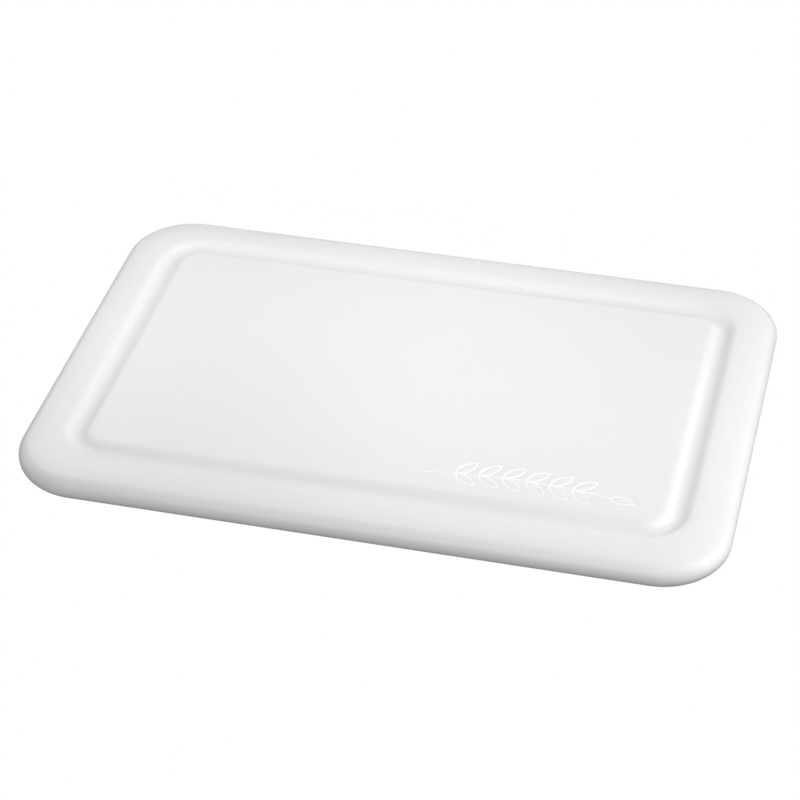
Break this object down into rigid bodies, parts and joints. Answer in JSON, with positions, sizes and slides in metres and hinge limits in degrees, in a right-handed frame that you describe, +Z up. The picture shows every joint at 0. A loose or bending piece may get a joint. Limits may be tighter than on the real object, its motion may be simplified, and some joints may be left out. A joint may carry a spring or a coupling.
{
  "type": "cutting board",
  "caption": "White moulded plastic cutting board with rounded corners, a bullnose edge, a juice groove round a flat field, and push-in feet under it.",
  "frame": {"origin": "on the surface that the feet stand on, under the middle of the board", "axes": "+X along the board's length towards the end where the engraved sprig is, +Y to its far long edge, +Z up out of the work field"},
  "size_m": [0.38, 0.253, 0.0175],
  "materials": {
    "white_polyethylene": "white food-grade polyethylene with a fine satin moulding grain, slightly translucent",
    "foot_elastomer": "light grey thermoplastic elastomer, matte"
  },
  "bodies": {
    "root": {"board": "white_polyethylene", "foot_front_left": "foot_elastomer", "foot_front_right": "foot_elastomer", "foot_rear_left": "foot_elastomer", "foot_rear_right": "foot_elastomer"}
  },
  "joints": []
}
